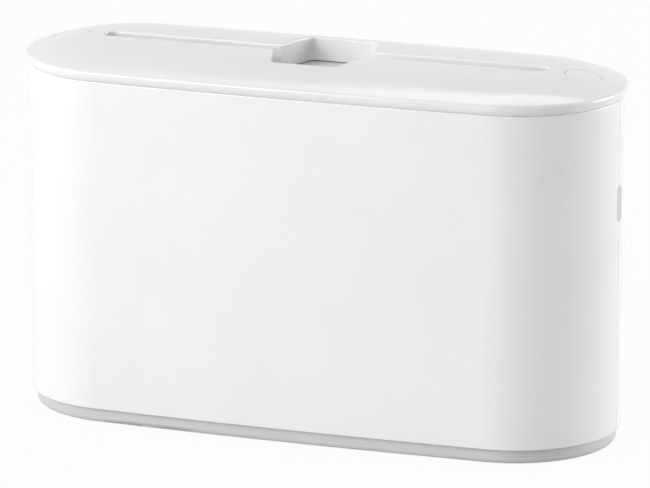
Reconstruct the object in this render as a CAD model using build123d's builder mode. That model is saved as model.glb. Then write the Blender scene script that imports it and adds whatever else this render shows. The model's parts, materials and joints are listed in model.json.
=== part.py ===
from build123d import *
import math
import os

# Countertop dispenser for folded paper towels. The origin is on the counter under the middle of the
# base, +X runs to the right end, -Y faces the user and +Z is up. Sizes are in millimetres.

# Housing outline seen from above: an oval of four tangent arcs
cover_width = 320.0
cover_depth = 115.4
side_bulge = 2.1

# Base tray and covers
counter_gap = 1.0
band_height = 8.0
band_gap = 0.25
under_round = 2.5
tray_wall = 2.2
floor_thickness = 2.5
floor_recess = 2.5
upstand_step = 1.5
upstand_height = 11.0
upstand_notch = 4.0
notch_gap = 0.3
cover_height = 174.3
cover_wall = 2.5
cover_edge_round = 0.6
ledge_rib_height = 3.0
half_seam_gap = 0.15
lap_width = 6.0
lap_thickness = 1.4
lap_clearance = 0.15

# Feet and screws
foot_radius = 8.0
foot_from_end = 60.0
foot_from_side = 27.7
screw_radius = 1.5
screw_length = 9.0
screw_head_radius = 3.0
screw_head_height = 1.8
screw_clearance = 0.05
cover_boss_radius = 3.6
cover_boss_from_wall = 11.8
cover_boss_angle = 51.0
cover_boss_height = 28.0

# Level windows in the end seams
window_width = 6.8
window_height = 18.8
window_below_seam = 54.0
window_fit = 0.1
window_flange = 1.5
window_recess = 0.1

# Magazine for the towel stack
magazine_from_end = 37.0
magazine_from_side = 13.7
panel_wall = 2.0
panel_rib_depth = 3.0
panel_rib_width = 1.6
panel_rib_count = 5
panel_rib_spacing = 48.0
panel_top_gap = 7.0
column_wall = 2.6
groove_depth = 0.8
groove_clearance = 0.15
groove_lip = 0.7
column_top_gap = 1.0
rail_inside = 26.0
rail_wall = 2.0
rail_length = 24.9
rail_top_gap = 6.5
bridge_thickness = 2.75
bridge_height = 6.0
bridge_below_seam = 9.0
column_foot_length = 11.8
column_foot_width = 8.0
column_foot_height = 7.0

# Towel platform and its travel
platform_below_seam = 0.3
platform_travel = 130.0
platform_clearance = 0.8
platform_wall = 2.5
platform_corner = 12.0
platform_edge_round = 1.0
platform_skirt = 9.0
skirt_wall = 1.8
pad_height = 4.2
pad_inset = 9.0
pad_corner = 8.0
platform_rib_wall = 1.5
platform_rib_depth = 6.0
platform_rib_count = 5
platform_rib_spacing = 40.0
ear_width = 14.0
ear_height = 6.0
ear_below_top = 7.7
ear_block_length = 9.0
ear_clearance = 0.8
stop_clearance = 0.5

# Constant-force spring units that push the platform up
carriage_gap = 0.8
carriage_wall = 2.5
carriage_side_clearance = 0.4
carriage_height = 31.0
cheek_wall = 2.2
cheek_radius = 6.5
drum_below_seam = 26.0
drum_reach = 13.1
drum_side_gap = 0.2
hub_radius = 6.0
coil_radius = 8.7
flange_radius = 9.4
flange_wall = 1.0
flange_hole_radius = 0.8
flange_hole_count = 6
strip_width = 11.6
strip_thickness = 0.3
strip_gap = 0.05
axle_radius = 2.0
axle_clearance = 0.05
axle_head_radius = 3.0
axle_head = 1.2

# Lid
lid_overhang = 1.7
lid_height = 12.9
lid_wall = 2.5
crown_width = 40.0
crown_drop = 7.8
nose_radius = 1.8
seam_gap = 0.2
plug_gap = 0.3
plug_wall = 1.8
plug_depth = 4.0
slot_width = 11.0
slot_from_end = 38.5
slot_skirt_depth = 6.0
slot_skirt_wall = 1.8
opening_half_width = 27.2
opening_end_half_width = 17.8
opening_half_depth = 30.7
opening_corner = 5.0
throat_wall = 2.2
throat_depth = 11.5
rim_round = 1.0
lid_rib_wall = 1.4
lid_rib_drop = 6.0
lid_rib_spacing = 24.0
lid_rib_count = 3
first_lid_rib = 46.0

# Release buttons
button_from_end = 19.8
button_radius = 9.4
button_clearance = 0.2
button_travel = 3.0
button_edge_round = 0.5
button_bore_radius = 7.4
button_bore_top = 7.0
button_flange_radius = 11.2
button_flange_thickness = 1.5
button_flange_base = 2.0
flange_clearance = 0.4
flange_stop_gap = 0.3
well_wall = 1.6
press_margin = 0.7
leg_offset = 9.4
leg_thickness = 2.0
leg_width = 8.0
leg_reach = 5.0
leg_chamfer = 1.2
leg_slot_gap = 0.3
spring_wire = 0.7
spring_mean_radius = 5.5
spring_seat_gap = 0.1

# Lid latches
latch_plate_wall = 1.6
latch_plate_half_width = 12.4
latch_plate_inward = 12.6
latch_plate_outward = 11.0
latch_plate_corner = 2.0
latch_ear_half_length = 19.0
latch_ear_half_width = 4.0
latch_screw_y = 15.6
latch_boss_radius = 3.0
finger_foot_wall = 1.4
finger_foot_length = 10.0
finger_half_width = 6.0
finger_blade = 1.6
finger_stand_off = 0.9
hook_reach = 2.4
hook_gap = 0.3
hook_height = 3.0
cam_gap = 0.2
cam_reach = 1.8
cam_height = 3.4
cam_slope_share = 0.85
stake_radius = 1.2
stake_length = 1.9
stake_outward = 5.0
stake_y = 4.5

# Heights worked out from the sizes above
band_top = counter_gap + band_height
floor_under = counter_gap + floor_recess
floor_top = floor_under + floor_thickness
upstand_top = band_top + upstand_height
seam = band_top + cover_height
lid_base = seam + seam_gap
lid_top = lid_base + lid_height
platform_top = seam - platform_below_seam
ear_top = platform_top - ear_below_top
drum_z = seam - drum_below_seam
bridge_top = seam - bridge_below_seam
bridge_bottom = bridge_top - bridge_height
plate_top = lid_base + button_flange_base - button_travel - press_margin
plate_bottom = plate_top - latch_plate_wall

# Centres of the oval's arcs
half_width = cover_width / 2
half_depth = cover_depth / 2
end_radius = half_depth - side_bulge
end_centre = half_width - end_radius
side_radius = (end_centre**2 + half_depth**2 - end_radius**2) / (2 * side_bulge)
side_centre = side_radius - half_depth
join_angle = math.degrees(math.atan2(side_centre, end_centre))

# Places along X and Y worked out from the sizes above
half_length = half_width - magazine_from_end
half_stack = half_depth - magazine_from_side
slot_half_length = half_width - slot_from_end
button_x = half_width - button_from_end
stake_x = button_x + stake_outward
foot_x = half_width - foot_from_end
foot_y = half_depth - foot_from_side
cover_boss_reach = end_radius - cover_boss_from_wall
cover_boss_x = end_centre + cover_boss_reach * math.cos(math.radians(cover_boss_angle))
cover_boss_y = cover_boss_reach * math.sin(math.radians(cover_boss_angle))
column_outer = half_length + column_wall
rail_half = rail_inside / 2
rail_end = column_outer + rail_length
carriage_in = column_outer + carriage_gap
carriage_out = carriage_in + carriage_wall
drum_x = column_outer + drum_reach
bridge_in = rail_end - bridge_thickness
web_half = half_stack + panel_wall + groove_clearance + groove_lip
band_inset = cover_wall + band_gap
upstand_inset = band_inset + upstand_step
hole_radius = screw_radius + screw_clearance
column_screw_x = column_outer + column_foot_length / 2
column_screw_y = rail_half + rail_wall + column_foot_width / 2

both_ways = (1, -1)
four_corners = [(side, face) for side in both_ways for face in both_ways]
far_out = cover_width


def oval(inset):
    """Flat face of the housing's outline, drawn in by inset."""
    radius = end_radius - inset
    along = end_centre + radius * math.cos(math.radians(join_angle))
    across = radius * math.sin(math.radians(join_angle))
    tip = half_width - inset
    side = half_depth - inset
    with BuildSketch(mode=Mode.PRIVATE) as face:
        with BuildLine():
            ThreePointArc((along, -across), (tip, 0), (along, across))
            ThreePointArc((along, across), (0, side), (-along, across))
            ThreePointArc((-along, across), (-tip, 0), (-along, -across))
            ThreePointArc((-along, -across), (0, -side), (along, -across))
        make_face()
    return face.sketch_local


def oval_block(inset, z_span, mode=Mode.ADD):
    """Solid oval between two heights, in the piece being built."""
    outline = oval(inset)
    with BuildSketch(Plane.XY.offset(z_span[0])) as profile:
        add(outline)
    extrude(profile.sketch, amount=z_span[1] - z_span[0], mode=mode)


def oval_wall(inset, wall, z_span):
    """Upright wall that follows the oval, in the piece being built."""
    outside = oval(inset)
    inside = oval(inset + wall)
    with BuildSketch(Plane.XY.offset(z_span[0])) as profile:
        add(outside)
        add(inside, mode=Mode.SUBTRACT)
    extrude(profile.sketch, amount=z_span[1] - z_span[0])


def block(x_span, y_span, z_span, mode=Mode.ADD):
    """Straight block between two limits along each axis, in the piece being built."""
    low_x, high_x = sorted(x_span)
    low_y, high_y = sorted(y_span)
    with BuildSketch(Plane.XY.offset(z_span[0])) as profile:
        with Locations(((low_x + high_x) / 2, (low_y + high_y) / 2)):
            Rectangle(high_x - low_x, high_y - low_y)
    extrude(profile.sketch, amount=z_span[1] - z_span[0], mode=mode)


def rounded_block(half_x, half_y, corner, z_span, mode=Mode.ADD):
    """Block centred on Z with rounded upright corners, in the piece being built."""
    with BuildSketch(Plane.XY.offset(z_span[0])) as profile:
        RectangleRounded(2 * half_x, 2 * half_y, corner)
    extrude(profile.sketch, amount=z_span[1] - z_span[0], mode=mode)


def pillar(radius, x, y, z_span, mode=Mode.ADD):
    """Round pillar or bore along Z, in the piece being built."""
    with BuildSketch(Plane.XY.offset(z_span[0])) as profile:
        with Locations((x, y)):
            Circle(radius)
    extrude(profile.sketch, amount=z_span[1] - z_span[0], mode=mode)


def capsule(side, x_span, grow, mode=Mode.ADD):
    """Upright capsule of the level window, grown all round, between two distances from the middle."""
    plane = Plane(origin=(side * x_span[0], 0, seam - window_below_seam), x_dir=(0, 0, 1), z_dir=(side, 0, 0))
    with BuildSketch(plane) as profile:
        SlotOverall(window_height + 2 * grow, window_width + 2 * grow)
    extrude(profile.sketch, amount=x_span[1] - x_span[0], mode=mode)


def pan_screw(length):
    """Pan-head screw along +Z with its seat at the origin and its head below."""
    crown = screw_head_height / 3
    with BuildPart(mode=Mode.PRIVATE) as body:
        with BuildSketch(Plane.XZ):
            with BuildLine():
                Polyline((0, -screw_head_height), (screw_head_radius - crown, -screw_head_height))
                RadiusArc((screw_head_radius - crown, -screw_head_height),
                          (screw_head_radius, crown - screw_head_height), -crown)
                Polyline((screw_head_radius, crown - screw_head_height), (screw_head_radius, 0),
                         (screw_radius, 0), (screw_radius, length - screw_radius), (0, length),
                         (0, -screw_head_height))
            make_face()
        revolve(axis=Axis.Z)
    return body.part


def save(piece, name):
    """Labels a finished piece and writes it."""
    piece.part.label = name
    export_step(piece.part, f"parts/{name}.step")


os.makedirs("parts", exist_ok=True)

# Base tray: the band under the covers, a floor, and an upstand that the covers slip over
with BuildPart() as base_tray:
    oval_block(band_inset, (counter_gap, band_top))
    fillet(base_tray.edges().group_by(Axis.Z)[0], under_round)
    oval_block(band_inset + tray_wall, (counter_gap, floor_under), Mode.SUBTRACT)
    oval_block(upstand_inset + tray_wall, (floor_top, band_top), Mode.SUBTRACT)
    oval_wall(upstand_inset, tray_wall, (band_top, upstand_top))
    for side, face in four_corners:
        block((side * (half_length - upstand_notch), side * (column_outer + notch_gap)),
              (face * rail_half, face * (web_half + notch_gap)), (floor_top, upstand_top), Mode.SUBTRACT)
        pillar(hole_radius, side * cover_boss_x, face * cover_boss_y, (0, floor_top), Mode.SUBTRACT)
        pillar(hole_radius, side * column_screw_x, face * column_screw_y, (0, floor_top), Mode.SUBTRACT)
save(base_tray, "base_tray")

with BuildPart() as base_feet:
    for side, face in four_corners:
        pillar(foot_radius, side * foot_x, face * foot_y, (0, floor_under))
    fillet(base_feet.edges().group_by(Axis.Z)[0], counter_gap / 2)
save(base_feet, "base_feet")

base_screw = pan_screw(screw_length)
with BuildPart() as cover_screws:
    with Locations(*[(side * cover_boss_x, face * cover_boss_y, floor_under) for side, face in four_corners]):
        add(base_screw)
save(cover_screws, "cover_screws")

with BuildPart() as column_screws:
    with Locations(*[(side * column_screw_x, face * column_screw_y, floor_under) for side, face in four_corners]):
        add(base_screw)
save(column_screws, "column_screws")

# Laps on the back cover that reach behind the front cover at both end seams
lap_span = (band_top + ledge_rib_height, seam - plug_depth - plug_wall)

with BuildPart() as lap_tongues:
    oval_wall(cover_wall + lap_clearance, lap_thickness, lap_span)
    block((-far_out, far_out), (-lap_width, lap_width), lap_span, Mode.INTERSECT)
    for side in both_ways:
        capsule(side, (0, far_out), window_flange + window_fit, Mode.SUBTRACT)

with BuildPart() as lap_roots:
    oval_wall(cover_wall / 2, cover_wall / 2 + lap_clearance, lap_span)
    block((-far_out, far_out), (half_seam_gap, lap_width), lap_span, Mode.INTERSECT)
    for side in both_ways:
        capsule(side, (0, far_out), window_flange + window_fit, Mode.SUBTRACT)


def half_cover(face):
    """Front (-1) or back (+1) half shell with its ledge rib, screw bosses and window notches."""
    boss_top = floor_top + cover_boss_height
    rib_base = upstand_top + cover_wall / 2
    with BuildPart(mode=Mode.PRIVATE) as cover:
        oval_wall(0, cover_wall, (band_top, seam))
        fillet(cover.edges().group_by(Axis.Z)[0], cover_edge_round)
        fillet(cover.edges().group_by(Axis.Z)[-1], cover_edge_round)
        oval_wall(cover_wall, upstand_step, (band_top, band_top + ledge_rib_height))
        for side in both_ways:
            x = side * cover_boss_x
            y = face * cover_boss_y
            outward = (x - side * end_centre, y, 0)
            pillar(cover_boss_radius, x, y, (floor_top, boss_top))
            with BuildSketch(Plane(origin=(x, y, rib_base), x_dir=outward)):
                Rectangle(cover_boss_from_wall - cover_wall / 2, cover_wall, align=(Align.MIN, Align.CENTER))
            extrude(amount=boss_top - rib_base)
            pillar(hole_radius, x, y, (floor_top, floor_top + screw_length), Mode.SUBTRACT)
        block((-far_out, far_out), (face * half_seam_gap, face * cover_depth), (0, lid_top), Mode.INTERSECT)
        if face > 0:
            add(lap_tongues.part)
            add(lap_roots.part)
        for side in both_ways:
            capsule(side, (0, far_out), window_fit, Mode.SUBTRACT)
    return cover.part


for face, name in ((-1, "front_cover"), (1, "back_cover")):
    shell = half_cover(face)
    with BuildPart() as cover:
        add(shell)
    save(cover, name)

# Level windows: capsules that straddle the end seams, each held by a flange inside the wall
flange_in = half_width - cover_wall - window_flange
window_span = (seam - window_below_seam - window_height, seam - window_below_seam + window_height)
for side, name in ((-1, "left_level_window"), (1, "right_level_window")):
    with BuildPart() as flange:
        capsule(side, (flange_in, far_out), window_flange)
        oval_block(cover_wall, window_span, Mode.INTERSECT)
    with BuildPart() as window:
        capsule(side, (flange_in, far_out), 0)
        oval_block(window_recess, window_span, Mode.INTERSECT)
        add(flange.part)
    save(window, name)

# Guide panels: front and back walls of the magazine, slid into grooves in the columns
panel_end = half_length + groove_depth - groove_clearance
panel_top = seam - panel_top_gap
rib_places = [(index - (panel_rib_count - 1) / 2) * panel_rib_spacing for index in range(panel_rib_count)]
for face, name in ((-1, "front_guide_panel"), (1, "back_guide_panel")):
    panel_out = half_stack + panel_wall
    with BuildPart() as panel:
        block((-panel_end, panel_end), (face * half_stack, face * panel_out), (floor_top, panel_top))
        for x in rib_places:
            block((x - panel_rib_width / 2, x + panel_rib_width / 2),
                  (face * panel_out, face * (panel_out + panel_rib_depth)), (floor_top, panel_top))
    save(panel, name)

# Guide columns: end walls of the magazine with a slot for the platform's ear, rails for the spring
# carriage outside it, and a bridge that anchors the spring strip and keeps the latch
ear_bottom = ear_top - ear_height
slot_half = ear_width / 2 + ear_clearance
slot_bottom = ear_bottom - platform_travel - ear_clearance
strip_screw_z = (bridge_top + bridge_bottom) / 2
for side, name in ((-1, "left_guide_column"), (1, "right_guide_column")):
    web = (side * half_length, side * column_outer)
    with BuildPart() as column:
        block(web, (-web_half, web_half), (floor_top, panel_top))
        block(web, (-rail_half - rail_wall, rail_half + rail_wall), (panel_top, seam - column_top_gap))
        block(web, (-slot_half, slot_half), (slot_bottom, ear_top + stop_clearance), Mode.SUBTRACT)
        for face in both_ways:
            rail = (face * rail_half, face * (rail_half + rail_wall))
            block((side * column_outer, side * rail_end), rail, (floor_top, seam - rail_top_gap))
            groove = (face * (half_stack - groove_clearance), face * (half_stack + panel_wall + groove_clearance))
            block((side * half_length, side * (half_length + groove_depth)), groove,
                  (floor_top, panel_top), Mode.SUBTRACT)
            foot = (face * (rail_half + rail_wall), face * (rail_half + rail_wall + column_foot_width))
            block((side * column_outer, side * (column_outer + column_foot_length)), foot,
                  (floor_top, floor_top + column_foot_height))
            pillar(hole_radius, side * column_screw_x, face * column_screw_y,
                   (floor_top, floor_top + column_foot_height), Mode.SUBTRACT)
        block((side * bridge_in, side * rail_end), (-rail_half, rail_half), (bridge_bottom, bridge_top))
        with BuildSketch(Plane(origin=(side * bridge_in, 0, strip_screw_z), z_dir=(side, 0, 0))):
            Circle(hole_radius)
        extrude(amount=bridge_thickness, mode=Mode.SUBTRACT)
    save(column, name)

# Towel platform: a ribbed tray upside down, stepped down round its border so that the lid's rim clears it,
# with an ear through each column's slot
platform_half_length = half_length - platform_clearance
platform_half_depth = half_stack - platform_clearance
border_top = platform_top - pad_height
border_under = border_top - platform_wall
platform_bottom = border_under - platform_skirt
plate_under = platform_top - platform_wall
inner_half_length = platform_half_length - skirt_wall
inner_half_depth = platform_half_depth - skirt_wall
pad_half_length = platform_half_length - pad_inset
pad_half_depth = platform_half_depth - pad_inset
pad_inner_length = pad_half_length - skirt_wall
pad_inner_depth = pad_half_depth - skirt_wall
rib_bottom = border_under - platform_rib_depth
ear_screw_z = ear_top - ear_height / 2
cross_places = [(index - (platform_rib_count - 1) / 2) * platform_rib_spacing for index in range(platform_rib_count)]

with BuildPart() as platform:
    rounded_block(platform_half_length, platform_half_depth, platform_corner, (platform_bottom, border_top))
    fillet(platform.edges().group_by(Axis.Z)[-1], platform_edge_round)
    rounded_block(pad_half_length, pad_half_depth, pad_corner, (border_under, platform_top))
    fillet(platform.edges().group_by(Axis.Z)[-1], platform_edge_round)
    rounded_block(inner_half_length, inner_half_depth, platform_corner - skirt_wall,
                  (platform_bottom, border_under), Mode.SUBTRACT)
    rounded_block(pad_inner_length, pad_inner_depth, pad_corner - skirt_wall,
                  (border_under, plate_under), Mode.SUBTRACT)
    for x in cross_places:
        rib = (x - platform_rib_wall / 2, x + platform_rib_wall / 2)
        block(rib, (-inner_half_depth, inner_half_depth), (rib_bottom, border_under))
        block(rib, (-pad_inner_depth, pad_inner_depth), (border_under, plate_under))
    spine = (-platform_rib_wall / 2, platform_rib_wall / 2)
    block((-inner_half_length, inner_half_length), spine, (rib_bottom, border_under))
    block((-pad_inner_length, pad_inner_length), spine, (border_under, plate_under))
    for side in both_ways:
        block((side * (inner_half_length - ear_block_length), side * inner_half_length),
              (-ear_width / 2, ear_width / 2), (ear_bottom, border_under))
        block((side * inner_half_length, side * carriage_in), (-ear_width / 2, ear_width / 2), (ear_bottom, ear_top))
        with BuildSketch(Plane(origin=(side * carriage_in, 0, ear_screw_z), z_dir=(-side, 0, 0))):
            Circle(hole_radius)
        extrude(amount=screw_length, mode=Mode.SUBTRACT)
save(platform, "platform")

# Spring carriages: forks screwed to the ears, each carrying a drum on its axle
cheek_in = ear_width / 2 + drum_side_gap
cheek_out = cheek_in + cheek_wall
carriage_half = rail_half - carriage_side_clearance
carriage_top = ear_top
for side, name in ((-1, "left_carriage"), (1, "right_carriage")):
    with BuildPart() as carriage:
        block((side * carriage_in, side * carriage_out), (-carriage_half, carriage_half),
              (carriage_top - carriage_height, carriage_top))
        with BuildSketch(Plane(origin=(side * carriage_in, 0, ear_screw_z), z_dir=(side, 0, 0))):
            Circle(hole_radius)
        extrude(amount=carriage_wall, mode=Mode.SUBTRACT)
        for start in (cheek_in, -cheek_out):
            cheek = Plane(origin=(side * drum_x, start, drum_z), x_dir=(-side, 0, 0), z_dir=(0, 1, 0))
            with BuildSketch(cheek):
                Circle(cheek_radius)
                Rectangle(drum_x - carriage_out, 2 * cheek_radius, align=(Align.MIN, Align.CENTER))
                Circle(axle_radius + axle_clearance, mode=Mode.SUBTRACT)
            extrude(amount=cheek_wall)
    save(carriage, name)

with BuildPart() as carriage_screws:
    for side in both_ways:
        with Locations(Location((side * carriage_out, 0, ear_screw_z), (0, -90 * side, 0))):
            add(base_screw)
save(carriage_screws, "carriage_screws")


def drum_plane(side, y):
    """Plane square to the drum's axle at a place along it."""
    return Plane(origin=(side * drum_x, y, drum_z), x_dir=(1, 0, 0), z_dir=(0, 1, 0))


axle_half = cheek_out
for side, name in ((-1, "left_drum_axle"), (1, "right_drum_axle")):
    with BuildPart() as axle:
        with BuildSketch(drum_plane(side, -axle_half)):
            Circle(axle_radius)
        extrude(amount=2 * axle_half)
        for start in (-axle_half - axle_head, axle_half):
            with BuildSketch(drum_plane(side, start)):
                Circle(axle_head_radius)
            extrude(amount=axle_head)
    save(axle, name)

drum_half = cheek_in - drum_side_gap
hole_circle = (hub_radius + axle_radius) / 2
for side, name in ((-1, "left_spring_drum"), (1, "right_spring_drum")):
    with BuildPart() as drum:
        with BuildSketch(drum_plane(side, -drum_half)):
            Circle(hub_radius)
        extrude(amount=2 * drum_half)
        for start in (-drum_half, drum_half - flange_wall):
            with BuildSketch(drum_plane(side, start)):
                Circle(flange_radius)
            extrude(amount=flange_wall)
        with BuildSketch(drum_plane(side, -drum_half)):
            Circle(axle_radius + axle_clearance)
            with PolarLocations(hole_circle, flange_hole_count):
                Circle(flange_hole_radius)
        extrude(amount=2 * drum_half, mode=Mode.SUBTRACT)
    save(drum, name)

for side, name in ((-1, "left_spring_coil"), (1, "right_spring_coil")):
    with BuildPart() as coil:
        with BuildSketch(drum_plane(side, -strip_width / 2)):
            Circle(coil_radius)
            Circle(hub_radius, mode=Mode.SUBTRACT)
        extrude(amount=strip_width)
    save(coil, name)

strip_in = drum_x + coil_radius + strip_gap
for side, name in ((-1, "left_spring_strip"), (1, "right_spring_strip")):
    with BuildPart() as strip:
        block((side * strip_in, side * (strip_in + strip_thickness)), (-strip_width / 2, strip_width / 2),
              (drum_z, bridge_top))
        with BuildSketch(Plane(origin=(side * strip_in, 0, strip_screw_z), z_dir=(side, 0, 0))):
            Circle(hole_radius)
        extrude(amount=strip_thickness, mode=Mode.SUBTRACT)
    save(strip, name)

strip_screw = pan_screw(bridge_thickness)
with BuildPart() as strip_screws:
    for side in both_ways:
        with Locations(Location((side * strip_in, 0, strip_screw_z), (0, 90 * side, 0))):
            add(strip_screw)
save(strip_screws, "strip_screws")

# Lid: a crowned oval turned about each arc's own centre, with a slim nose round its edge
crown_radius = (crown_width**2 + crown_drop**2) / (2 * crown_drop)
crown_centre = lid_height - crown_radius
nose_height = crown_centre + math.sqrt((crown_radius - nose_radius)**2 - (crown_width - nose_radius)**2)
touch_share = crown_radius / (crown_radius - nose_radius)
sectors = (
    ((end_centre, 0), end_radius, -join_angle, 2 * join_angle),
    ((0, -side_centre), side_radius, join_angle, 180 - 2 * join_angle),
    ((-end_centre, 0), end_radius, 180 - join_angle, 2 * join_angle),
    ((0, side_centre), side_radius, 180 + join_angle, 180 - 2 * join_angle),
)


def skin_section(edge):
    """Half section of the lid from its flat crown out to the nose, edge being its outer radius."""
    flat = edge - crown_width
    touch = (flat + (crown_width - nose_radius) * touch_share,
             crown_centre + (nose_height - crown_centre) * touch_share)
    with BuildSketch(mode=Mode.PRIVATE) as section:
        with BuildLine():
            Line((flat, 0), (edge - lid_overhang, 0))
            TangentArc((edge, nose_height), (edge - lid_overhang, 0), tangent=(0, -1))
            TangentArc((edge, nose_height), touch, tangent=(0, 1))
            TangentArc((flat, lid_height), touch, tangent=(1, 0))
            Line((flat, lid_height), (flat, 0))
        make_face()
    return section.sketch_local


def hollow_section(edge):
    """Half section of the space under the lid, from below the plug rim up to the skin."""
    flat = edge - crown_width
    inside = edge - lid_overhang - cover_wall - plug_gap - plug_wall
    under_radius = crown_radius - lid_wall
    under_edge = crown_centre + math.sqrt(under_radius**2 - (inside - flat)**2)
    with BuildSketch(mode=Mode.PRIVATE) as section:
        with BuildLine():
            Polyline((flat, lid_height - lid_wall), (flat, -2 * plug_depth), (inside, -2 * plug_depth),
                     (inside, under_edge))
            TangentArc((flat, lid_height - lid_wall), (inside, under_edge), tangent=(1, 0))
        make_face()
    return section.sketch_local


def turned_oval(draw_section, z_span):
    """Section turned through each arc of the oval, round a straight core under the flat crown."""
    core = oval(crown_width - lid_overhang)
    with BuildPart(mode=Mode.PRIVATE) as form:
        for centre, radius, start, sweep in sectors:
            turn = math.radians(start)
            section = Plane(origin=(*centre, lid_base), x_dir=(math.cos(turn), math.sin(turn), 0),
                            z_dir=(math.sin(turn), -math.cos(turn), 0))
            half_section = draw_section(radius + lid_overhang)
            with BuildSketch(section):
                add(half_section)
            revolve(axis=Axis((*centre, 0), (0, 0, 1)), revolution_arc=sweep)
        with BuildSketch(Plane.XY.offset(z_span[0])):
            add(core)
        extrude(amount=z_span[1] - z_span[0])
    return form.part


def finger_opening(grow):
    """Outline of the central opening: wide in the middle, narrower at the front and back edges."""
    corners = [(opening_half_width, 0), (opening_end_half_width, opening_half_depth),
               (-opening_end_half_width, opening_half_depth), (-opening_half_width, 0),
               (-opening_end_half_width, -opening_half_depth), (opening_end_half_width, -opening_half_depth)]
    with BuildSketch(mode=Mode.PRIVATE) as outline:
        with BuildLine():
            Polyline(*corners, close=True)
        make_face()
        fillet([corner for corner in outline.vertices() if abs(corner.Y) > 1], opening_corner)
        if grow > 0:
            offset(amount=grow)
    return outline.sketch_local


lid_form = turned_oval(skin_section, (lid_base, lid_top))
lid_hollow = turned_oval(hollow_section, (lid_base - 2 * plug_depth, lid_top - lid_wall))
opening = finger_opening(0)
throat_outline = finger_opening(throat_wall)
well_radius = button_flange_radius + flange_clearance + well_wall
lid_rib_places = [side * (first_lid_rib + index * lid_rib_spacing)
                  for side in both_ways for index in range(lid_rib_count)]

# Walls under the lid's skin, cut to the crown
with BuildPart() as lid_walls:
    with BuildSketch(Plane.XY.offset(lid_top - throat_depth)):
        add(throat_outline)
    extrude(amount=throat_depth)
    with BuildSketch(Plane.XY.offset(lid_top - slot_skirt_depth)):
        SlotOverall(2 * (slot_half_length + slot_skirt_wall), slot_width + 2 * slot_skirt_wall)
    extrude(amount=slot_skirt_depth)
    for x in lid_rib_places:
        block((x - lid_rib_wall / 2, x + lid_rib_wall / 2), (-half_stack, half_stack),
              (lid_top - lid_rib_drop, lid_top))
    for side in both_ways:
        pillar(well_radius, side * button_x, 0, (plate_top, lid_top))
        for face in both_ways:
            pillar(latch_boss_radius, side * button_x, face * latch_screw_y, (plate_top, lid_top))

with BuildPart() as lid_envelope:
    add(lid_form)
    oval_block(cover_wall + plug_gap, (lid_base - plug_depth, lid_base))

flange_top = lid_base + button_flange_base + button_flange_thickness
with BuildPart() as lid_walls_inside:
    add(lid_walls.part)
    add(lid_envelope.part, mode=Mode.INTERSECT)

with BuildSketch() as cut_outline:
    add(opening)
    SlotOverall(2 * slot_half_length, slot_width)
cut_rim = cut_outline.face().outer_wire()


def on_rim(edge):
    """Whether an edge of the lid lies where the skin meets the slot and the finger opening."""
    middle = edge.position_at(0.5)
    return middle.Z > lid_top - lid_wall / 2 and cut_rim.distance_to(Vector(middle.X, middle.Y, 0)) < rim_round / 10


with BuildPart() as lid:
    add(lid_form)
    oval_wall(cover_wall + plug_gap, plug_wall, (lid_base - plug_depth, lid_base + seam_gap))
    add(lid_hollow, mode=Mode.SUBTRACT)
    add(lid_walls_inside.part)
    with BuildSketch(Plane.XY.offset(lid_base)):
        add(cut_outline.sketch)
    extrude(amount=lid_height, mode=Mode.SUBTRACT)
    fillet([edge for edge in lid.edges() if on_rim(edge)], rim_round)
    for side in both_ways:
        pillar(button_radius + button_clearance, side * button_x, 0, (plate_top, lid_top), Mode.SUBTRACT)
        pillar(button_flange_radius + flange_clearance, side * button_x, 0,
               (plate_top, flange_top + flange_stop_gap), Mode.SUBTRACT)
        for face in both_ways:
            pillar(hole_radius, side * button_x, face * latch_screw_y,
                   (plate_top, plate_bottom + screw_length), Mode.SUBTRACT)
save(lid, "lid")

# Release buttons: caps cut from the crown itself, with a flange that stops them and a leg with a cam face
leg_in = button_x + leg_offset - leg_thickness / 2
leg_out = leg_in + leg_thickness
leg_bottom = lid_base - leg_reach
for side, name in ((-1, "left_button"), (1, "right_button")):
    with BuildPart() as button:
        pillar(button_radius, side * button_x, 0, (lid_base + button_flange_base, lid_top))
        add(lid_form, mode=Mode.INTERSECT)
        fillet(button.edges().group_by(Axis.Z)[-1], button_edge_round)
        pillar(button_flange_radius, side * button_x, 0, (lid_base + button_flange_base, flange_top))
        pillar(button_bore_radius, side * button_x, 0,
               (lid_base + button_flange_base, lid_base + button_bore_top), Mode.SUBTRACT)
        block((side * leg_in, side * leg_out), (-leg_width / 2, leg_width / 2), (leg_bottom, flange_top))
        tip = button.edges().filter_by(Axis.Y).group_by(Axis.Z)[0].sort_by(Axis.X)[-1 if side > 0 else 0]
        chamfer(tip, leg_chamfer)
    save(button, name)

# Return springs of the buttons, each a sleeve as large as its coil
spring_bottom = plate_top + spring_seat_gap
spring_top = lid_base + button_bore_top - spring_seat_gap
for side, name in ((-1, "left_button_spring"), (1, "right_button_spring")):
    with BuildPart() as spring:
        pillar(spring_mean_radius + spring_wire / 2, side * button_x, 0, (spring_bottom, spring_top))
        pillar(spring_mean_radius - spring_wire / 2, side * button_x, 0, (spring_bottom, spring_top), Mode.SUBTRACT)
    save(spring, name)

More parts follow.
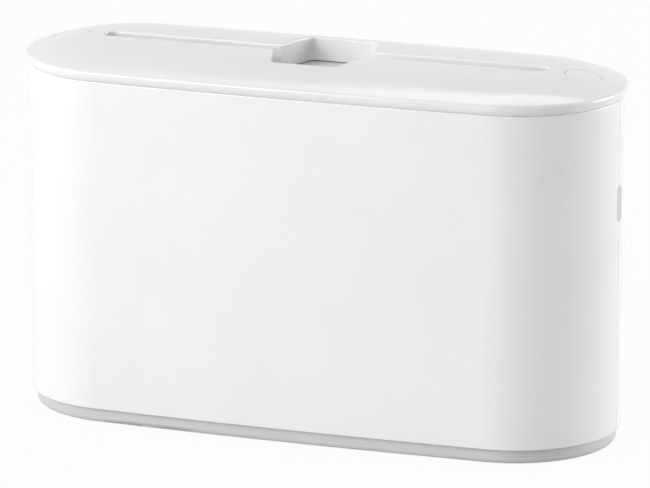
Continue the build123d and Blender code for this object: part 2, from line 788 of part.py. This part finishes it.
# Latch plates: carriers screwed under the button wells
leg_slot_x = (leg_in - leg_slot_gap, leg_out + leg_slot_gap)
leg_slot_half = leg_width / 2 + leg_slot_gap
for side, name in ((-1, "left_latch_plate"), (1, "right_latch_plate")):
    with BuildPart() as plate:
        block((side * (button_x - latch_plate_inward), side * (button_x + latch_plate_outward)),
              (-latch_plate_half_width, latch_plate_half_width), (plate_bottom, plate_top))
        block((side * (button_x - latch_ear_half_width), side * (button_x + latch_ear_half_width)),
              (-latch_ear_half_length, latch_ear_half_length), (plate_bottom, plate_top))
        corners = plate.edges().filter_by(Axis.Z)
        fillet([edge for edge in corners if abs(edge.center().X - side * button_x) > latch_ear_half_width + 1
                or abs(edge.center().Y) > latch_plate_half_width + 1], latch_plate_corner)
        block((side * leg_slot_x[0], side * leg_slot_x[1]), (-leg_slot_half, leg_slot_half),
              (plate_bottom, plate_top), Mode.SUBTRACT)
        for face in both_ways:
            pillar(hole_radius, side * button_x, face * latch_screw_y, (plate_bottom, plate_top), Mode.SUBTRACT)
            pillar(stake_radius, side * stake_x, face * stake_y, (plate_bottom - stake_length, plate_bottom))
    save(plate, name)

with BuildPart() as latch_plate_screws:
    with Locations(*[(side * button_x, face * latch_screw_y, plate_bottom) for side, face in four_corners]):
        add(base_screw)
save(latch_plate_screws, "latch_plate_screws")

# Latch fingers: moulded leaf springs whose hooks catch under the columns' bridges
blade_in = rail_end + finger_stand_off
blade_out = blade_in + finger_blade
foot_bottom = plate_bottom - finger_foot_wall
cam_top = leg_bottom - cam_gap
hook_top = bridge_bottom - hook_gap
finger_outline = [
    (blade_out, plate_bottom), (blade_out - finger_foot_length, plate_bottom),
    (blade_out - finger_foot_length, foot_bottom), (blade_in, foot_bottom), (blade_in, cam_top),
    (blade_in - cam_reach, cam_top - cam_slope_share * cam_height), (blade_in, cam_top - cam_height),
    (blade_in, hook_top), (blade_in - hook_reach, hook_top), (blade_in, hook_top - hook_height),
    (blade_out, hook_top - hook_height),
]
for side, name in ((-1, "left_latch_finger"), (1, "right_latch_finger")):
    with BuildPart() as finger:
        with BuildSketch(Plane.XZ):
            with BuildLine():
                Polyline(*[(side * x, z) for x, z in finger_outline], close=True)
            make_face()
        extrude(amount=finger_half_width, both=True)
        block((side * leg_slot_x[0], side * leg_slot_x[1]), (-leg_slot_half, leg_slot_half),
              (foot_bottom, plate_bottom), Mode.SUBTRACT)
        for face in both_ways:
            pillar(stake_radius + screw_clearance, side * stake_x, face * stake_y,
                   (foot_bottom, plate_bottom), Mode.SUBTRACT)
    save(finger, name)
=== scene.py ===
import json
import math

import bmesh
import bpy
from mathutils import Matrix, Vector


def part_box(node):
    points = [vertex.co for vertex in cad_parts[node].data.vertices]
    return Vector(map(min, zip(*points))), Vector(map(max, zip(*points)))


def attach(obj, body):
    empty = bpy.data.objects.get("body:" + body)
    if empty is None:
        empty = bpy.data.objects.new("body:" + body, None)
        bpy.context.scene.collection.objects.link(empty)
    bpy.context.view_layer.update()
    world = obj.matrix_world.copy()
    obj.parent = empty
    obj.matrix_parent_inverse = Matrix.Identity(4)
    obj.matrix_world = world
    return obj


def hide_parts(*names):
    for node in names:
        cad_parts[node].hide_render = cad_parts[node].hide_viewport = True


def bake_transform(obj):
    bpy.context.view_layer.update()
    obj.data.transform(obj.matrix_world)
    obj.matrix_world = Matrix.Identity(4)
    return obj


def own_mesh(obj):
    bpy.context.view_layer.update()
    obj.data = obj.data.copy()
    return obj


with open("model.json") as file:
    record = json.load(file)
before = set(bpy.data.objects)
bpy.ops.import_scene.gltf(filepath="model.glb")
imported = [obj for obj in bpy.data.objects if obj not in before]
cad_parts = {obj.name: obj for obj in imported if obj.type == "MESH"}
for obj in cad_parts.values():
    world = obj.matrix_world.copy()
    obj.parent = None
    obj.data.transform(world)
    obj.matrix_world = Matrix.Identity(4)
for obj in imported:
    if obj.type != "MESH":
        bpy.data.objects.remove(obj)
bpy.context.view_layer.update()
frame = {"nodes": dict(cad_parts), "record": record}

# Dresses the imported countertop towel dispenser: finishes for its mouldings, wound and coiled springs,
# the deep walls of the lid's cut-outs, a pale floor, soft studio light and the camera. Lengths below
# are in millimetres unless named otherwise.
mm = 0.001

# Camera: long lens, a little to the right of the front and a little above
photo_width = 650
focal_pixels = 6199.0
sensor_width = 36.0
camera_turn_degrees = 20.3
camera_rise_degrees = 14.65
camera_distance = 3210.9
look_at = (0.66, 0.0, 93.6)

# Light: lamp powers in watts, sizes and places in metres. The edge lamp is long and narrow, for the
# bright band along the lid's crown.
sky_level = 0.335
key_power = 53.1
key_size = (1.7, 1.7)
key_place = (-1.5, -1.9, 1.1)
side_power = 30.1
side_size = (1.1, 1.1)
side_place = (1.9, 1.0, 0.5)
top_power = 7.6
top_size = (1.6, 1.6)
top_place = (0.0, 1.0, 2.3)
edge_power = 2.7
edge_size = (2.1, 0.36)
edge_place = (-0.71, 1.24, 2.02)
lamp_target = (0.0, 0.0, 0.1)
floor_width = 60.0
floor_glow = 0.95

# Button springs: wire coils that stand in the button wells on the latch plates
spring_wire = 0.7
spring_turns = 5.5
spring_resting_turns = 0.9
spring_rise_points = 26
wire_sides = 10

# Constant-force springs: thin strip wound on each drum and led up to the column's bridge
strip_thickness = 0.3
wound_turns = 8
wound_layer_share = 0.72
wound_points = 40
hub_radius = 6.0
strip_divisions = 24

# Bends sharper than this stay crisp on the smooth-shaded pieces
crease_degrees = 40

# Deep walls of the slot and finger opening, which the CAD lid carries less far down
slot_width = 11.0
slot_from_end = 38.5
lid_overhang = 1.7
opening_half_width = 27.2
opening_end_half_width = 17.8
opening_half_depth = 30.7
opening_corner = 5.0
junction_corner = 1.5
slot_corner = 5.4
liner_wall = 1.0
liner_stand_in = 0.05
liner_below_top = 1.5
liner_above_platform = 0.5
corner_points = 7


def to_linear(hex_colour):
    """Linear colour of an sRGB hex value such as #F0F0F0."""
    channels = [int(hex_colour[place:place + 2], 16) / 255 for place in (1, 3, 5)]
    return [c / 12.92 if c <= 0.04045 else ((c + 0.055) / 1.055) ** 2.4 for c in channels] + [1.0]


def add_node(tree, kind, inputs=None, **settings):
    """Adds one shader node with its settings, and its inputs as values or as sockets to link from."""
    node = tree.nodes.new(kind)
    for name, value in settings.items():
        setattr(node, name, value)
    for name, value in (inputs or {}).items():
        if isinstance(value, bpy.types.NodeSocket):
            tree.links.new(value, node.inputs[name])
        else:
            node.inputs[name].default_value = value
    return node


def pattern_scale(size):
    """Scale of a texture in object space whose features are about size millimetres apart."""
    return 1 / (size * mm)


def new_material(name):
    """Empty node material and its tree."""
    material = bpy.data.materials.new(name)
    material.use_nodes = True
    material.node_tree.nodes.clear()
    return material, material.node_tree


def finish_material(tree, shader):
    """Links the shader to the material's output."""
    add_node(tree, "ShaderNodeOutputMaterial", {"Surface": shader.outputs["BSDF"]})


def polished_abs(name, colour, shade):
    """ABS moulded in a polished tool: white and glossy, with a broad flow mottle and a faint orange peel."""
    mottle_size = 70.0
    peel_size = 3.0
    material, tree = new_material(name)
    place = add_node(tree, "ShaderNodeTexCoord").outputs["Object"]
    mottle = add_node(tree, "ShaderNodeTexNoise", {"Vector": place, "Scale": pattern_scale(mottle_size),
                                                   "Detail": 3.0, "Roughness": 0.55})
    tint = add_node(tree, "ShaderNodeValToRGB", {"Fac": mottle.outputs["Fac"]})
    tint.color_ramp.elements[0].position = 0.3
    tint.color_ramp.elements[0].color = to_linear(shade)
    tint.color_ramp.elements[1].position = 0.7
    tint.color_ramp.elements[1].color = to_linear(colour)
    peel = add_node(tree, "ShaderNodeTexNoise", {"Vector": place, "Scale": pattern_scale(peel_size),
                                                 "Detail": 2.0})
    gloss = add_node(tree, "ShaderNodeMapRange", {"Value": mottle.outputs["Fac"], "From Min": 0.25,
                                                  "From Max": 0.75, "To Min": 0.1, "To Max": 0.15})
    bump = add_node(tree, "ShaderNodeBump", {"Height": peel.outputs["Fac"], "Strength": 0.06,
                                             "Distance": 0.05 * mm})
    shader = add_node(tree, "ShaderNodeBsdfPrincipled", {
        "Base Color": tint.outputs["Color"], "Roughness": gloss.outputs["Result"],
        "Normal": bump.outputs["Normal"], "IOR": 1.53})
    finish_material(tree, shader)
    return material


def eroded_abs(name, colour, shade):
    """ABS moulded in a spark-eroded tool: an even matt grain that takes the shine off a low part."""
    mottle_size = 45.0
    # The real grain is near 0.3 mm, drawn three times as coarse so that it shows
    grain_size = 0.9
    material, tree = new_material(name)
    place = add_node(tree, "ShaderNodeTexCoord").outputs["Object"]
    mottle = add_node(tree, "ShaderNodeTexNoise", {"Vector": place, "Scale": pattern_scale(mottle_size),
                                                   "Detail": 4.0})
    grain = add_node(tree, "ShaderNodeTexNoise", {"Vector": place, "Scale": pattern_scale(grain_size),
                                                  "Detail": 2.0, "Roughness": 0.6})
    tint = add_node(tree, "ShaderNodeValToRGB", {"Fac": mottle.outputs["Fac"]})
    tint.color_ramp.elements[0].position = 0.3
    tint.color_ramp.elements[0].color = to_linear(shade)
    tint.color_ramp.elements[1].position = 0.7
    tint.color_ramp.elements[1].color = to_linear(colour)
    dull = add_node(tree, "ShaderNodeMapRange", {"Value": grain.outputs["Fac"], "From Min": 0.3,
                                                 "From Max": 0.7, "To Min": 0.42, "To Max": 0.54})
    bump = add_node(tree, "ShaderNodeBump", {"Height": grain.outputs["Fac"], "Strength": 0.25,
                                             "Distance": 0.06 * mm})
    shader = add_node(tree, "ShaderNodeBsdfPrincipled", {
        "Base Color": tint.outputs["Color"], "Roughness": dull.outputs["Result"],
        "Normal": bump.outputs["Normal"], "IOR": 1.53})
    finish_material(tree, shader)
    return material


def smoked_polycarbonate(name, colour, shade):
    """Grey polycarbonate with a clear top layer: smooth and glossy, a little deeper in tone at its core."""
    cloud_size = 9.0
    material, tree = new_material(name)
    place = add_node(tree, "ShaderNodeTexCoord").outputs["Object"]
    cloud = add_node(tree, "ShaderNodeTexNoise", {"Vector": place, "Scale": pattern_scale(cloud_size),
                                                  "Detail": 2.0})
    tint = add_node(tree, "ShaderNodeValToRGB", {"Fac": cloud.outputs["Fac"]})
    tint.color_ramp.elements[0].position = 0.35
    tint.color_ramp.elements[0].color = to_linear(shade)
    tint.color_ramp.elements[1].position = 0.65
    tint.color_ramp.elements[1].color = to_linear(colour)
    shader = add_node(tree, "ShaderNodeBsdfPrincipled", {
        "Base Color": tint.outputs["Color"], "Roughness": 0.18, "IOR": 1.585,
        "Coat Weight": 0.4, "Coat Roughness": 0.06})
    finish_material(tree, shader)
    return material


def natural_acetal(name, colour, shade):
    """Natural acetal, as gears and spools are moulded from: milky, waxy and faintly mottled."""
    cloud_size = 14.0
    wax_size = 1.6
    material, tree = new_material(name)
    place = add_node(tree, "ShaderNodeTexCoord").outputs["Object"]
    cloud = add_node(tree, "ShaderNodeTexNoise", {"Vector": place, "Scale": pattern_scale(cloud_size),
                                                  "Detail": 3.0})
    wax = add_node(tree, "ShaderNodeTexNoise", {"Vector": place, "Scale": pattern_scale(wax_size),
                                                "Detail": 2.0})
    tint = add_node(tree, "ShaderNodeValToRGB", {"Fac": cloud.outputs["Fac"]})
    tint.color_ramp.elements[0].color = to_linear(shade)
    tint.color_ramp.elements[1].color = to_linear(colour)
    bump = add_node(tree, "ShaderNodeBump", {"Height": wax.outputs["Fac"], "Strength": 0.1,
                                             "Distance": 0.04 * mm})
    shader = add_node(tree, "ShaderNodeBsdfPrincipled", {
        "Base Color": tint.outputs["Color"], "Roughness": 0.34, "IOR": 1.48,
        "Subsurface Weight": 0.12, "Subsurface Scale": 1.5 * mm, "Normal": bump.outputs["Normal"]})
    finish_material(tree, shader)
    return material


def rolled_spring_steel(name, colour, shade):
    """Rolled stainless spring steel: bright, with fine lines that run along the strip and the wire."""
    # Rolling lines are near 0.05 mm apart, drawn at 0.4 mm so that they show
    line_size = 0.4
    line_stretch = (1.0, 1.0, 0.04)
    material, tree = new_material(name)
    place = add_node(tree, "ShaderNodeTexCoord").outputs["Object"]
    along = add_node(tree, "ShaderNodeMapping", {"Vector": place, "Scale": line_stretch})
    lines = add_node(tree, "ShaderNodeTexNoise", {"Vector": along.outputs["Vector"],
                                                  "Scale": pattern_scale(line_size), "Detail": 3.0})
    tint = add_node(tree, "ShaderNodeValToRGB", {"Fac": lines.outputs["Fac"]})
    tint.color_ramp.elements[0].color = to_linear(shade)
    tint.color_ramp.elements[1].color = to_linear(colour)
    rub = add_node(tree, "ShaderNodeMapRange", {"Value": lines.outputs["Fac"], "To Min": 0.22,
                                                "To Max": 0.38})
    bump = add_node(tree, "ShaderNodeBump", {"Height": lines.outputs["Fac"], "Strength": 0.12,
                                             "Distance": 0.02 * mm})
    shader = add_node(tree, "ShaderNodeBsdfPrincipled", {
        "Base Color": tint.outputs["Color"], "Metallic": 1.0, "Roughness": rub.outputs["Result"],
        "Normal": bump.outputs["Normal"]})
    finish_material(tree, shader)
    return material


def zinc_plated_steel(name, colour, shade):
    """Bright zinc on steel, as on small screws and pins: soft shine with a cloudy plating."""
    cloud_size = 1.8
    material, tree = new_material(name)
    place = add_node(tree, "ShaderNodeTexCoord").outputs["Object"]
    cloud = add_node(tree, "ShaderNodeTexNoise", {"Vector": place, "Scale": pattern_scale(cloud_size),
                                                  "Detail": 4.0})
    tint = add_node(tree, "ShaderNodeValToRGB", {"Fac": cloud.outputs["Fac"]})
    tint.color_ramp.elements[0].color = to_linear(shade)
    tint.color_ramp.elements[1].color = to_linear(colour)
    rub = add_node(tree, "ShaderNodeMapRange", {"Value": cloud.outputs["Fac"], "To Min": 0.3, "To Max": 0.46})
    shader = add_node(tree, "ShaderNodeBsdfPrincipled", {
        "Base Color": tint.outputs["Color"], "Metallic": 1.0, "Roughness": rub.outputs["Result"]})
    finish_material(tree, shader)
    return material


def moulded_rubber(name, colour, shade):
    """Moulded foot rubber: dark and dry, with a grainy skin that picks up dust."""
    grain_size = 0.8
    dust_size = 6.0
    material, tree = new_material(name)
    place = add_node(tree, "ShaderNodeTexCoord").outputs["Object"]
    grain = add_node(tree, "ShaderNodeTexNoise", {"Vector": place, "Scale": pattern_scale(grain_size),
                                                  "Detail": 3.0})
    dust = add_node(tree, "ShaderNodeTexNoise", {"Vector": place, "Scale": pattern_scale(dust_size),
                                                 "Detail": 5.0})
    tint = add_node(tree, "ShaderNodeValToRGB", {"Fac": dust.outputs["Fac"]})
    tint.color_ramp.elements[0].color = to_linear(shade)
    tint.color_ramp.elements[1].color = to_linear(colour)
    bump = add_node(tree, "ShaderNodeBump", {"Height": grain.outputs["Fac"], "Strength": 0.4,
                                             "Distance": 0.08 * mm})
    shader = add_node(tree, "ShaderNodeBsdfPrincipled", {
        "Base Color": tint.outputs["Color"], "Roughness": 0.78, "IOR": 1.52,
        "Normal": bump.outputs["Normal"]})
    finish_material(tree, shader)
    return material


def mesh_piece(name, builder, material):
    """New object from a bmesh, with its faces turned outwards."""
    mesh = bpy.data.meshes.new(name)
    bmesh.ops.recalc_face_normals(builder, faces=builder.faces)
    builder.to_mesh(mesh)
    builder.free()
    mesh.materials.append(material)
    piece = bpy.data.objects.new(name, mesh)
    bpy.context.scene.collection.objects.link(piece)
    return piece


def smooth_piece(name, builder, material):
    """New object from a bmesh, shaded smooth between its creases."""
    piece = mesh_piece(name, builder, material)
    piece.data.shade_smooth()
    piece.data.set_sharp_from_angle(angle=math.radians(crease_degrees))
    return piece


def join_rings(builder, pairs):
    """Faces between pairs of closed rings that have as many points each."""
    for first, second in pairs:
        for index in range(len(first)):
            following = (index + 1) % len(first)
            builder.faces.new((first[index], first[following], second[following], second[index]))


def wire_coil(name, centre, radius, z_span, material):
    """Compression spring along Z: round wire that lies flat for its first and last turn."""
    builder = bmesh.new()
    wire_radius = spring_wire / 2
    low = z_span[0] + wire_radius
    high = z_span[1] - wire_radius
    steps = round(spring_turns * spring_rise_points)
    rings = []
    for step in range(steps + 1):
        turn = spring_turns * step / steps
        rising = (turn - spring_resting_turns) / (spring_turns - 2 * spring_resting_turns)
        share = min(max(rising, 0), 1)
        angle = 2 * math.pi * turn
        height = low + (high - low) * share
        ring = []
        for side in range(wire_sides):
            around = 2 * math.pi * side / wire_sides
            reach = radius + wire_radius * math.cos(around)
            ring.append(builder.verts.new((
                (centre[0] + reach * math.cos(angle)) * mm,
                (centre[1] + reach * math.sin(angle)) * mm,
                (height + wire_radius * math.sin(around)) * mm)))
        rings.append(ring)
    join_rings(builder, zip(rings, rings[1:]))
    builder.faces.new(rings[0])
    builder.faces.new(rings[-1])
    return smooth_piece(name, builder, material)


def ribbon(name, route, thickness, half_width, material):
    """Flat strip that follows a route in the XZ plane, with its width along Y."""
    builder = bmesh.new()
    rows = []
    for index, point in enumerate(route):
        before = route[max(index - 1, 0)]
        after = route[min(index + 1, len(route) - 1)]
        along = (after - before).normalized()
        outward = Vector((along.z, 0, -along.x)) * thickness / 2
        corners = [(point + side * outward + Vector((0, edge * half_width, 0))) * mm
                   for side, edge in ((1, 1), (1, -1), (-1, -1), (-1, 1))]
        rows.append([builder.verts.new(corner) for corner in corners])
    join_rings(builder, zip(rows, rows[1:]))
    builder.faces.new(rows[0])
    builder.faces.new(rows[-1])
    return smooth_piece(name, builder, material)


def rounded(corner, before, after, radius):
    """Points of an arc of the given radius that rounds a corner of a flat outline."""
    to_before = (before - corner).normalized()
    to_after = (after - corner).normalized()
    half_angle = to_before.angle(to_after) / 2
    centre = corner + (to_before + to_after).normalized() * radius / math.sin(half_angle)
    first = corner + to_before * radius / math.tan(half_angle) - centre
    sweep = math.pi - 2 * half_angle
    if to_before.cross(to_after) > 0:
        sweep = -sweep
    points = []
    for step in range(corner_points):
        angle = sweep * step / (corner_points - 1)
        points.append(centre + Vector((first.x * math.cos(angle) - first.y * math.sin(angle),
                                       first.x * math.sin(angle) + first.y * math.cos(angle))))
    return points


def cut_outline(grow):
    """Outline of the slot and finger opening seen from above, grown outwards by grow."""
    slot_half = slot_width / 2 + grow
    slot_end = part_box("lid")[1][0] / mm - lid_overhang - slot_from_end + grow
    slant = (opening_half_width - opening_end_half_width) / opening_half_depth
    wide = opening_half_width + grow
    meeting = wide - slant * slot_half
    back = opening_half_depth + grow
    quarter = [(Vector((slot_end, slot_half)), slot_corner),
               (Vector((meeting, slot_half)), junction_corner),
               (Vector((wide - slant * back, back)), opening_corner)]
    corners = list(quarter)
    corners += [(Vector((-point.x, point.y)), radius) for point, radius in reversed(quarter)]
    corners += [(Vector((-point.x, -point.y)), radius) for point, radius in quarter]
    corners += [(Vector((point.x, -point.y)), radius) for point, radius in reversed(quarter)]
    points = []
    for index, (corner, radius) in enumerate(corners):
        before = corners[index - 1][0]
        after = corners[(index + 1) % len(corners)][0]
        points += rounded(corner, before, after, radius)
    return points


def cut_liner(name, z_span, material):
    """Upright wall just inside the slot and finger opening, between two heights."""
    builder = bmesh.new()
    rings = []
    for grow, height in ((-liner_stand_in, z_span[0]), (-liner_stand_in, z_span[1]),
                         (liner_wall, z_span[1]), (liner_wall, z_span[0])):
        rings.append([builder.verts.new(Vector((point.x, point.y, height)) * mm)
                      for point in cut_outline(grow)])
    join_rings(builder, zip(rings, rings[1:] + rings[:1]))
    return smooth_piece(name, builder, material)


def node_box(node):
    """Lowest and highest corners of a CAD node in millimetres."""
    low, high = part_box(node)
    return Vector(low) / mm, Vector(high) / mm


# Finishes, one for each material slot of the record
cover_abs = polished_abs("cover_polished_white_abs", "#F0F1F0", "#EDEEED")
# The lid's white ABS is a shade darker than the cover's: that darkening is painted shade for the lid's top
lid_abs_painted_shade = polished_abs("lid_polished_white_abs_painted_shade", "#EEEFEE", "#EAEBEA")
button_abs = polished_abs("button_polished_white_abs", "#EFF0EF", "#ECEDEC")
tray_abs = eroded_abs("tray_grey_eroded_abs", "#CDCECF", "#C9CACB")
# Pale grey plastic, lifted paler than its own grey: the lift is painted light for the light that reaches the
# platform deep in the opening
platform_abs_painted_light = eroded_abs("platform_pale_grey_abs_painted_light", "#E3E4E5", "#DEDFE0")
chassis_abs = eroded_abs("chassis_off_white_abs", "#E3E4E1", "#DFE0DD")
window_polycarbonate = smoked_polycarbonate("window_grey_polycarbonate", "#C6C8C9", "#BEC0C1")
acetal = natural_acetal("natural_white_acetal", "#EAE9E4", "#E2E1DB")
spring_steel = rolled_spring_steel("rolled_spring_steel", "#C9CACA", "#A9AAAA")
zinc_steel = zinc_plated_steel("zinc_plated_steel", "#CFCFCB", "#B4B4AF")
foot_rubber = moulded_rubber("moulded_foot_rubber", "#4A4B4C", "#38393A")
finishes = {
    "cover_plastic": cover_abs,
    "lid_plastic": lid_abs_painted_shade,
    "button_plastic": button_abs,
    "tray_plastic": tray_abs,
    "platform_plastic": platform_abs_painted_light,
    "chassis_plastic": chassis_abs,
    "window_plastic": window_polycarbonate,
    "acetal": acetal,
    "spring_steel": spring_steel,
    "zinc_steel": zinc_steel,
    "foot_rubber": foot_rubber,
}
for subpart in frame["record"]["subparts"]:
    piece = frame["nodes"][subpart["node"]]
    for slot in piece.material_slots:
        slot.material = finishes[subpart["material_slot"]]

# Springs: wire coils under the buttons, and the wound and free lengths of each constant-force spring
for side, end in ((-1, "left"), (1, "right")):
    sleeve = f"{end}_button_spring"
    low, high = node_box(sleeve)
    middle = (low + high) / 2
    coil_radius = (high.x - low.x) / 2 - spring_wire / 2
    coil = wire_coil(f"{end}_button_wire_coil", middle, coil_radius, (low.z, high.z), spring_steel)
    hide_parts(sleeve)
    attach(coil, "lid")
    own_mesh(coil)

    wound_node = f"{end}_spring_coil"
    low, high = node_box(wound_node)
    centre = (low + high) / 2
    outer = (high.x - low.x) / 2
    layer = (outer - hub_radius) / wound_turns
    wound_route = []
    for step in range(wound_turns * wound_points + 1):
        turn = step / wound_points
        radius = outer - layer / 2 - layer * (wound_turns - 1) * turn / wound_turns
        angle = -2 * math.pi * turn
        wound_route.append(Vector((centre.x + side * radius * math.cos(angle), 0,
                                   centre.z + radius * math.sin(angle))))
    wound = ribbon(f"{end}_wound_strip", wound_route, layer * wound_layer_share, (high.y - low.y) / 2,
                   spring_steel)
    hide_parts(wound_node)
    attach(wound, f"{end}_drum")

    strip_node = f"{end}_spring_strip"
    low, high = node_box(strip_node)
    middle = (low + high) / 2
    strip_route = [Vector((middle.x, 0, low.z + (high.z - low.z) * step / strip_divisions))
                   for step in range(strip_divisions + 1)]
    strip = ribbon(f"{end}_free_strip", strip_route, strip_thickness, (high.y - low.y) / 2, spring_steel)
    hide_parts(strip_node)
    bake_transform(strip)

# Deep walls of the slot and the finger opening
liner_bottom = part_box("platform")[1][2] / mm + liner_above_platform
liner_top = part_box("lid")[1][2] / mm - liner_below_top
liner = cut_liner("slot_and_opening_walls", (liner_bottom, liner_top), lid_abs_painted_shade)
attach(liner, "lid")


def aim(item, target):
    """Points a lamp or camera at a place."""
    item.rotation_euler = (Vector(target) - item.location).to_track_quat("-Z", "Y").to_euler()


def soft_lamp(name, place, size, power):
    """Rectangular area lamp aimed at the dispenser."""
    lamp = bpy.data.lights.new(name, "AREA")
    lamp.shape = "RECTANGLE"
    lamp.size, lamp.size_y = size
    lamp.energy = power
    item = bpy.data.objects.new(name, lamp)
    bpy.context.scene.collection.objects.link(item)
    item.location = place
    aim(item, lamp_target)


def seen_directly(tree):
    """Whether a ray is the camera's, or one that shows in gloss or glass, as 0 or 1."""
    path = add_node(tree, "ShaderNodeLightPath")
    gloss = add_node(tree, "ShaderNodeMath", {0: path.outputs["Is Camera Ray"],
                                              1: path.outputs["Is Glossy Ray"]}, operation="MAXIMUM")
    return add_node(tree, "ShaderNodeMath", {0: gloss.outputs[0], 1: path.outputs["Is Transmission Ray"]},
                    operation="MAXIMUM").outputs[0]


soft_lamp("key_lamp", key_place, key_size, key_power)
soft_lamp("side_lamp", side_place, side_size, side_power)
soft_lamp("top_lamp", top_place, top_size, top_power)
soft_lamp("edge_lamp", edge_place, edge_size, edge_power)

# World: white where it is seen, and a plain level where it only lights
world = bpy.data.worlds.new("studio_world")
world.use_nodes = True
world.node_tree.nodes.clear()
level = add_node(world.node_tree, "ShaderNodeMapRange", {
    "Value": seen_directly(world.node_tree), "To Min": sky_level, "To Max": 1.0})
sky = add_node(world.node_tree, "ShaderNodeBackground", {"Color": to_linear("#FFFFFF"),
                                                        "Strength": level.outputs["Result"]})
add_node(world.node_tree, "ShaderNodeOutputWorld", {"Surface": sky.outputs["Background"]})
bpy.context.scene.world = world

# Floor: pale and matt, lifted towards white where it is seen, so that only the shadow tells it from
# the backdrop
floor_material, floor_tree = new_material("pale_floor")
paint = add_node(floor_tree, "ShaderNodeBsdfDiffuse", {"Color": to_linear("#DCDCDC")})
glow = add_node(floor_tree, "ShaderNodeEmission", {"Color": to_linear("#FFFFFF"), "Strength": 1.0})
glow_share = add_node(floor_tree, "ShaderNodeMath", {0: seen_directly(floor_tree), 1: floor_glow},
                      operation="MULTIPLY")
floor_mix = add_node(floor_tree, "ShaderNodeMixShader", {"Fac": glow_share.outputs[0]})
floor_tree.links.new(paint.outputs["BSDF"], floor_mix.inputs[1])
floor_tree.links.new(glow.outputs["Emission"], floor_mix.inputs[2])
add_node(floor_tree, "ShaderNodeOutputMaterial", {"Surface": floor_mix.outputs["Shader"]})
floor_builder = bmesh.new()
bmesh.ops.create_grid(floor_builder, x_segments=2, y_segments=2, size=floor_width / 2)
mesh_piece("floor", floor_builder, floor_material)

# Camera
camera = bpy.data.objects.new("photo_camera", bpy.data.cameras.new("photo_camera"))
bpy.context.scene.collection.objects.link(camera)
camera.data.sensor_width = sensor_width
camera.data.lens = focal_pixels / photo_width * sensor_width
turn = math.radians(camera_turn_degrees)
rise = math.radians(camera_rise_degrees)
target = Vector(look_at) * mm
towards = Vector((math.sin(turn) * math.cos(rise), -math.cos(turn) * math.cos(rise), math.sin(rise)))
camera.location = target + towards * camera_distance * mm
aim(camera, target)
bpy.context.scene.camera = camera
bpy.context.scene.view_settings.view_transform = "Standard"
